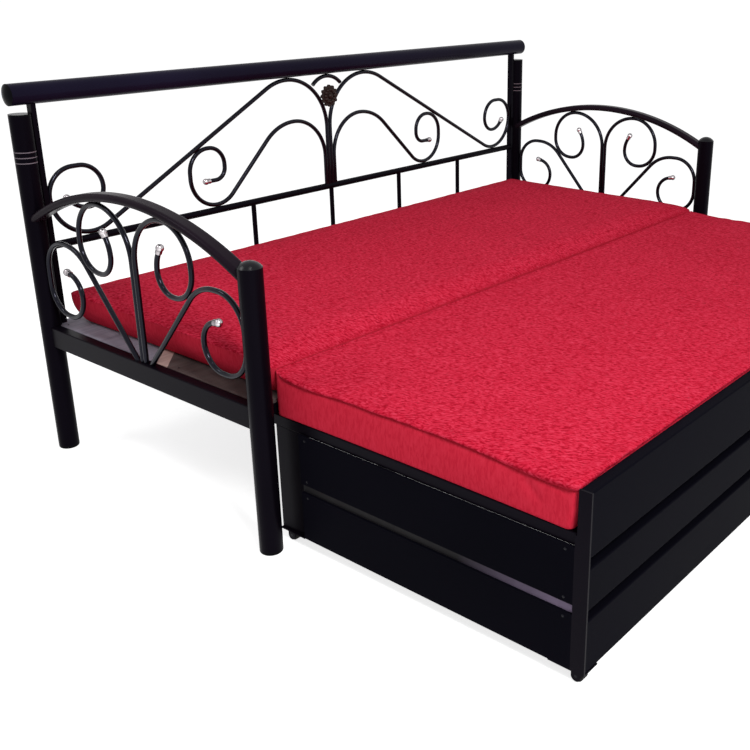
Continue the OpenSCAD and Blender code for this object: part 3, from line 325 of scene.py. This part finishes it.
# Top tube: black paint whose bluish colour in broad cloudy patches is a painted sheen
topTubeSheenCoat = paint("topTubePaintedSheen", {
    "dark": srgb(8, 6, 13), "light": srgb(32, 28, 50), "cloudScale": 2.5, "peelScale": 420.0,
    "peelHeight": 0.00004, "rough": 0.26, "roughSpread": 0.04, "ior": 1.13, "tint": (0.72, 0.68, 1.0)})
postCoat = paint("backPostCoat", {
    **powderCoat, "ior": 1.1,
    # painted highlight on the edges of the three ring grooves
    "rings": {"lowest": 0.733, "pitch": 0.0125, "count": 3, "half": 0.0011, "glintColour": srgb(128, 118, 126)}})
capGloss = mould("frontCapGloss", {
    **moulded, "dark": srgb(6, 6, 10), "light": srgb(14, 13, 20), "grain": 900.0, "rough": 0.24, "ior": 1.26})

# Nodes whose look departs from their slot's own, and what the names of bent rods hold
ownCoats = {
    "front_post_caps": capGloss, "centre_arch": rodCoat, "back_top_tube": topTubeSheenCoat, "back_posts": postCoat,
    "arm_top_tube_left": armTubeSheenCoat, "arm_top_tube_right": armTubeSheenCoat, "castor_axles": finishes["screw_zinc"]}
rodNames = ("scrolls", "_scroll_left", "_scroll_right")


def coatNodes(parts):
    for part in parts:
        node = part["node"]
        coat = ownCoats.get(node, finishes[part["material_slot"]])
        if any(name in node for name in rodNames):
            coat = rodCoat
        mesh = frame["nodes"][node].data
        mesh.materials.clear()
        mesh.materials.append(coat)


coatNodes(frame["record"]["subparts"])
print("finishes on")


# Mattress halves
padSet = {
    "cell": 0.0095,  # grid step
    "edgeSteps": (0.0, 0.0016, 0.0036, 0.006, 0.009, 0.0126, 0.017, 0.0225, 0.0295, 0.038),  # finer by the rim
    "corner": 0.015,  # radius of the upright corners
    "rollWidth": 0.016,  # width of the rounded shoulder over the seam
    "border": 0.09,  # width of the crowned border
    "crownRoom": 0.0002,  # left free under the top of the CAD solid
    "drawn": 0.004,  # how far the sides pull in between the corners
    "gatherLengths": (0.047, 0.063, 0.089, 0.131, 0.21),  # wavelengths of the seam's puckers
    "sideApart": (7.0, 17.0),  # moves the waves of opposite sides apart
    "calmCorner": 0.05,  # puckers fade this near a corner
    "puckerReach": 0.03,  # and this far in from the outline
    "sideEdge": 50,  # how sharply a sag stops at the middle of the bed
    "dipReach": 0.06,  # how far in from the side a sag of the seam is felt
    "foldReach": 0.035,  # how far from the fold the panel bends up or down
    "seamLift": 0.6,  # share of that bend which the seam takes
    "foldSeam": (0.0012, 0.02),  # at the fold the seam lies this far under the shoulder, over this reach
    "puffShares": (0.3, 40.0),  # how much puckers and sags add to the puff over the seam
    "puffFold": 0.03,  # the puff fades this near the fold
    "bandRows": 20,  # rows of faces up the band
    "bandSwell": (0.002, 0.5),  # how far the band's middle swells, and how much that varies
    "bandLengths": (0.3, 0.45, 0.7),  # wavelengths of the band's slow swell
    "bandFold": 0.02,  # the swell fades this near the fold
    "notchReach": 0.004,  # the band follows the puff this far down
    "creaseFacing": 0.7,  # creases mark the band where it faces the side this much
    "reliefRise": 1.3,  # how fast the front edge's undercut ends up the band
    "reliefFront": 6,  # how closely it keeps to the front edge
    "frontRoom": 0.0004,  # how far the front edge may swell
}
shadeSet = {
    "rim": ((0.58, 0.007), (0.42, 0.026)),  # share and reach of the shade over the seam, near and far
    "gather": (0.75, 0.35),  # its steady share, and the one that comes and goes with the puckers
    "foldClear": 0.05,  # that shade fades this near the fold
    "fold": (0.5, 0.012),  # share and reach of the shade along the fold
    "band": (0.35, 0.0025),  # and of the shade under the seam
}
tiny = 1e-9  # keeps a division from zero

# seam and shoulder are heights, under the degrees by which the shoulder starts below its widest line, puff how
# far that line stands out, tuck and hem how far the foot is drawn in, relief how much further back the foot of the
# front edge is set, foldSide the sign of y where the fold is, and foldLift how far the panel rises there
padPlaces = {
    "rear": {
        "node": "rear_mattress", "body": "sofa_frame", "seam": 0.4025, "shoulder": 0.4095, "seed": 3,
        "tuck": 0.024, "hem": 0.009, "relief": 0.0, "foldSide": -1, "foldLift": -0.013, "pucker": 0.0005,
        "puff": 0.001, "under": 15.0, "seamShade": 0.15, "foldShade": 0.6, "dips": [], "creases": []},
    "front": {
        "node": "front_mattress", "body": "front_mattress_half", "seam": 0.379, "shoulder": 0.3885, "seed": 8,
        "tuck": 0.0, "hem": 0.005, "relief": 0.012, "foldSide": 1, "foldLift": 0.0065, "pucker": 0.0012,
        "puff": 0.003, "under": 52.0, "seamShade": 0.55, "foldShade": 0.4,
        # sagging stretches of the seam: side, y, reach, depth
        "dips": [(-1, -0.69, 0.12, 0.011), (-1, -0.12, 0.06, 0.005), (-1, -0.3, 0.03, 0.002),
                 (1, -0.3, 0.16, 0.006)],
        # creases in the band: side, y, z, slope in degrees, length, width, depth
        "creases": [(-1, -0.668, 0.344, 48.0, 0.026, 0.006, 0.0028), (-1, -0.652, 0.352, 62.0, 0.016, 0.005, 0.002),
                    (-1, -0.722, 0.366, 12.0, 0.024, 0.005, 0.0022), (-1, -0.748, 0.372, 25.0, 0.014, 0.005, 0.002)]},
}


def finerEnds(half, cell, steps):
    # Even cells in the middle and finer ones by both ends
    steps = np.array(steps)
    inner = half - steps[-1] - cell
    middle = np.linspace(-inner, inner, int(round(2 * inner / cell)) + 1)
    return np.concatenate([steps - half, middle, half - steps[::-1]])


def smooth(t):
    # 0 to 1 with level ends: 3 t squared less 2 t cubed
    t = np.clip(t, 0.0, 1.0)
    return t * t * (3.0 - 2.0 * t)


def fade(distance, reach):
    # e to the power of minus distance over reach
    return np.exp(-distance / reach)


def waves(s, seed, lengths):
    # Sum of sines of these wavelengths with fixed random phases, between about -1 and 1
    rng = np.random.default_rng(seed)
    total = np.zeros_like(s)
    for length in lengths:
        total += np.sin(2 * math.pi * s / length + rng.uniform(0, 2 * math.pi)) * rng.uniform(0.5, 1.0)
    return total / math.sqrt(len(lengths))


def padGrid(hx, hy, p):
    # Cells over a rectangle whose corners are pulled onto arcs; edge is the way in from the outline, and nx, ny
    # point out of it. The sides draw in by a parabola between the corners
    gx, gy = np.meshgrid(finerEnds(hx, p["cell"], p["edgeSteps"]), finerEnds(hy, p["cell"], p["edgeSteps"]),
                         indexing="ij")
    r = p["corner"]
    dx, dy = np.maximum(np.abs(gx) - (hx - r), 0), np.maximum(np.abs(gy) - (hy - r), 0)
    inCorner = (dx > 0) & (dy > 0)
    pull = np.where(inCorner, np.maximum(dx, dy) / np.maximum(np.hypot(dx, dy), tiny), 1.0)
    x = np.where(inCorner, np.sign(gx) * (hx - r + dx * pull), gx)
    y = np.where(inCorner, np.sign(gy) * (hy - r + dy * pull), gy)
    fromX, fromY = hx - np.abs(gx), hy - np.abs(gy)
    edge = np.maximum(np.where(inCorner, r - np.maximum(dx, dy), np.minimum(fromX, fromY)), 0.0)
    nearX = fromX < fromY
    nx = np.where(inCorner, np.sign(gx) * dx, np.where(nearX, np.sign(gx), 0.0))
    ny = np.where(inCorner, np.sign(gy) * dy, np.where(nearX, 0.0, np.sign(gy)))
    length = np.maximum(np.hypot(nx, ny), tiny)
    x, y = x * (1 - p["drawn"] / hx * (1 - (y / hy) ** 2)), y * (1 - p["drawn"] / hy * (1 - (x / hx) ** 2))
    return SimpleNamespace(hx=hx, hy=hy, gx=gx, gy=gy, x=x, y=y, nx=nx / length, ny=ny / length, edge=edge,
                           fromX=fromX, fromY=fromY, nearX=nearX)


def puckers(g, place, p):
    # Waves along the outline that die away at the corners
    apartX, apartY = p["sideApart"]
    along = np.where(g.nearX, g.gy + np.sign(g.gx) * apartX, g.gx + np.sign(g.gy) * apartY)
    return waves(along, place["seed"], p["gatherLengths"]) * smooth(np.abs(g.fromX - g.fromY) / p["calmCorner"])


def sags(g, cy, place, p):
    # Bell-shaped dips of the seam, each on one side only
    return sum((depth * np.exp(-((g.gy + cy - where) / reach) ** 2) * smooth(0.5 + g.gx * side * p["sideEdge"])
                for side, where, reach, depth in place["dips"]), np.zeros_like(g.gx))


def topPanel(g, cy, highZ, place, p):
    # Seam height, plus a shoulder that turns from under its widest line up to level, plus the crown's smooth rise;
    # the shoulder bellows out over the seam, and both rise or fall by the fold
    gather, dip = puckers(g, place, p), sags(g, cy, place, p)
    toFold = g.hy - g.gy * place["foldSide"]
    lift = place["foldLift"] * fade(toFold, p["foldReach"])
    seam = place["seam"] + lift * p["seamLift"] - dip * fade(g.fromX, p["dipReach"])
    shoulder = place["shoulder"] + lift
    step, reach = p["foldSeam"]
    seam = seam + (shoulder - step - seam) * fade(toFold, reach)
    start = math.radians(place["under"])
    turn = -start + np.clip(g.edge / p["rollWidth"], 0, 1) * (math.pi / 2 + start)
    rim = (np.sin(turn) + math.sin(start)) / (1 + math.sin(start))
    crown = np.maximum(highZ - p["crownRoom"] - shoulder, 0) * smooth(g.edge / p["border"])
    z = seam + (shoulder - seam) * rim + crown
    z = z + place["pucker"] * gather * fade(g.edge, p["puckerReach"]) * (g.edge > 0)
    byGather, byDip = p["puffShares"]
    roll = p["rollWidth"] + place["puff"] * (1 + byGather * gather + byDip * dip)
    bellow = np.where(g.edge < p["rollWidth"], roll * np.cos(turn) - p["rollWidth"] + g.edge, 0.0)
    bellow = bellow * smooth(toFold / p["puffFold"])
    return SimpleNamespace(x=g.x + g.nx * bellow, y=g.y + g.ny * bellow, z=z, gather=gather, toFold=toFold,
                           bellow=bellow)


def rimRing(rows, cols):
    # Indices of the grid's outline, once round
    return np.concatenate([np.arange(cols), np.arange(1, rows) * cols + cols - 1,
                           (rows - 1) * cols + np.arange(cols - 2, -1, -1), np.arange(rows - 2, 0, -1) * cols])


def frontness(y, hy, p):
    # 1 at the front edge, falling fast behind it
    return np.maximum(0.0, -y / hy) ** p["reliefFront"]


def bandPanel(g, top, ring, cy, lowZ, place, p):
    # From the bottom edge up to the seam: a tuck and a quarter-round hem draw it in at the foot, the front edge's foot
    # is set back, and a slow swell, the shoulder's puff and the creases move it along the outline's normal
    x, y, nx, ny, notch, highZ = (a.ravel()[ring] for a in (g.x, g.y, g.nx, g.ny, top.bellow, top.z))
    v = 0.5 - 0.5 * np.cos(math.pi * np.linspace(0, 1, p["bandRows"] + 1))[:, None]
    z = lowZ + v * (highZ - lowZ)
    hem = place["hem"]
    lean = place["tuck"] * (1 - v) ** 2 + hem * (1 - np.sqrt(1 - np.clip(1 - (z - lowZ) / hem, 0, 1) ** 2))
    amount, varies = p["bandSwell"]
    swell = amount * np.sin(math.pi * v) * (1 + varies * waves(y + x, place["seed"] + 1, p["bandLengths"]))
    swell = swell * smooth((g.hy - y * place["foldSide"]) / p["bandFold"])
    out = swell + notch * fade(highZ - z, p["notchReach"])
    for side, where, level, slope, length, width, depth in place["creases"]:
        u, w = y + cy - where, z - level
        c, t = math.cos(math.radians(slope)), math.sin(math.radians(slope))
        bell = np.exp(-((u * c + w * t) / length) ** 2 - ((w * c - u * t) / width) ** 2)
        out = out - depth * bell * (nx * side > p["creaseFacing"])
    bandX = x * (1 - lean / g.hx) + nx * out
    bandY = y * (1 - lean / g.hy) + ny * out
    bandY = bandY + place["relief"] * (1 - v) ** p["reliefRise"] * frontness(y, g.hy, p)
    return np.stack([bandX, bandY, z], -1), highZ - z


def bottomPanel(g, lowZ, place, p):
    # Level, drawn in all round by the tuck and the hem, and set back at the front
    under = place["tuck"] + place["hem"]
    y = g.y * (1 - under / g.hy) + place["relief"] * frontness(g.y, g.hy, p)
    return np.stack([g.x * (1 - under / g.hx), y, np.full_like(g.x, lowZ)], -1)


def padFaces(rows, cols, ring, bandRows):
    # Quads of the top, of the bottom turned over, and of the band between the two outlines
    n, m = rows * cols, len(ring)
    ids = np.arange(n).reshape(rows, cols)
    quad = np.stack([ids[:-1, :-1], ids[1:, :-1], ids[1:, 1:], ids[:-1, 1:]], -1).reshape(-1, 4)
    inner = 2 * n + np.arange((bandRows - 1) * m).reshape(-1, m)
    levels = np.concatenate([(ring + n)[None], inner, ring[None]])
    a, b = levels[:-1], levels[1:]
    side = np.stack([a, b, np.roll(b, -1, 1), np.roll(a, -1, 1)], -1).reshape(-1, 4)
    return np.concatenate([quad, quad[:, ::-1] + n, side]), 2 * len(quad)


def creaseShade(g, top, belowSeam, place, d):
    # How deep each point lies in the creases by the seam and the fold: painted shade, by which the cloth's shader
    # darkens its colour
    shade = sum(share * fade(g.edge, reach) for share, reach in d["rim"]) * place["seamShade"]
    steady, moving = d["gather"]
    shade = shade * np.clip(steady + moving * top.gather, 0, 1) * smooth(top.toFold / d["foldClear"])
    share, reach = d["fold"]
    shade = np.maximum(shade, share * np.exp(-(top.toFold / reach) ** 2) * place["foldShade"])
    share, reach = d["band"]
    bandShade = fade(belowSeam, reach) * place["seamShade"] * share
    return np.concatenate([shade.ravel(), np.zeros(g.gx.size), bandShade[1:-1].ravel()])


def buildPad(key, place, p):
    # Two panels on one grid with a band between them, closed into one cover
    low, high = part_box(place["node"])
    cx, cy = (low.x + high.x) / 2, (low.y + high.y) / 2
    g = padGrid((high.x - low.x) / 2, (high.y - low.y) / 2, p)
    top = topPanel(g, cy, high.z, place, p)
    rows, cols = g.gx.shape
    ring = rimRing(rows, cols)
    band, belowSeam = bandPanel(g, top, ring, cy, low.z, place, p)
    crown = np.stack([top.x, top.y, top.z], -1)
    wall = -g.hy - p["frontRoom"]  # the front edge stays clear of the front boards
    for panel in (crown, band):
        panel[..., 1] = np.maximum(panel[..., 1], wall)
    panels = (crown, bottomPanel(g, low.z, place, p), band[1:-1])
    points = np.concatenate([panel.reshape(-1, 3) for panel in panels])
    points[:, 0] += cx
    points[:, 1] += cy
    faces, bandStart = padFaces(rows, cols, ring, p["bandRows"])
    mesh = bpy.data.meshes.new(key + "MattressCover")
    mesh.from_pydata(points.tolist(), [], faces.tolist())
    depths = creaseShade(g, top, belowSeam, place, shadeSet)
    mesh.attributes.new("paintedCreaseShade", "FLOAT", "POINT").data.foreach_set("value", depths.astype(np.float32))
    mesh.materials.append(finishes["red_chenille"])
    mesh.materials.append(bandWeave)
    slots = np.zeros(len(faces), np.int32)
    slots[bandStart:] = 1
    mesh.polygons.foreach_set("material_index", slots)
    mesh.polygons.foreach_set("use_smooth", np.ones(len(faces), bool))
    obj = bpy.data.objects.new(key + "MattressCover", mesh)
    scene.collection.objects.link(obj)
    bm = bmesh.new()
    bm.from_mesh(mesh)
    bmesh.ops.recalc_face_normals(bm, faces=bm.faces)
    bm.to_mesh(mesh)
    bm.free()
    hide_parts(place["node"])
    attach(obj, place["body"])


for padKey, padPlace in padPlaces.items():
    buildPad(padKey, padPlace, padSet)
print("mattress halves built")


# Floor, lamps and world
stageSet = {
    "floor": (0.82, 0.82, 0.82),
    "reach": 40.0,
    "glow": 0.75,  # what the camera and reflections add to the floor's own colour
    "world": 0.368,  # light that the world gives
    "sky": 1.0,  # what the camera and reflections see of it
    "lamps": [
        {"name": "keyLamp", "place": (-1.7, -2.3, 2.4), "aim": (0.0, -0.35, 0.35), "size": 0.8, "watts": 70.0},
        {"name": "topLamp", "place": (-1.3, -0.6, 2.9), "aim": (-0.4, 0.0, 0.4), "size": 0.4, "watts": 6.0},
        {"name": "rearLamp", "place": (-2.2, 1.6, 2.6), "aim": (-0.3, 0.6, 0.6), "size": 0.8, "watts": 12.0},
    ],
}


def seenRays(s):
    # 1 for camera, glossy and transmission rays
    ray = s.add("LightPath").outputs
    return s.maths("MAXIMUM", s.maths("MAXIMUM", ray["Is Camera Ray"], ray["Is Glossy Ray"]),
                   ray["Is Transmission Ray"])


def addFloor(p):
    s = material("paleFloor")
    body = s.add("BsdfDiffuse", {"Color": (*p["floor"], 1.0)})
    glow = s.add("Emission", {"Color": (1, 1, 1, 1), "Strength": s.maths("MULTIPLY", seenRays(s), p["glow"])})
    s.end(s.add("AddShader", {0: body.outputs[0], 1: glow.outputs[0]}).outputs[0])
    mesh = bpy.data.meshes.new("floor")
    r = p["reach"]
    mesh.from_pydata([(-r, -r, 0), (r, -r, 0), (r, r, 0), (-r, r, 0)], [], [(0, 1, 2, 3)])
    mesh.materials.append(s.owner)
    floor = bpy.data.objects.new("floor", mesh)
    scene.collection.objects.link(floor)


def addWorld(p):
    s = Shader(bpy.data.worlds.new("studio"), "OutputWorld")
    strength = s.spread(seenRays(s), p["world"], p["sky"])
    s.end(s.add("Background", {"Color": (1.0, 1.0, 1.0, 1.0), "Strength": strength}).outputs[0])
    scene.world = s.owner


def addLamp(lamp):
    light = bpy.data.lights.new(lamp["name"], "AREA")
    light.shape = "DISK"
    light.size = lamp["size"]
    light.energy = lamp["watts"]
    obj = bpy.data.objects.new(lamp["name"], light)
    place = Vector(lamp["place"])
    facing = (Vector(lamp["aim"]) - place).to_track_quat("-Z", "Y").to_matrix().to_4x4()
    obj.matrix_world = Matrix.Translation(place) @ facing
    scene.collection.objects.link(obj)


addFloor(stageSet)
addWorld(stageSet)
for lampSet in stageSet["lamps"]:
    addLamp(lampSet)
print("stage set")
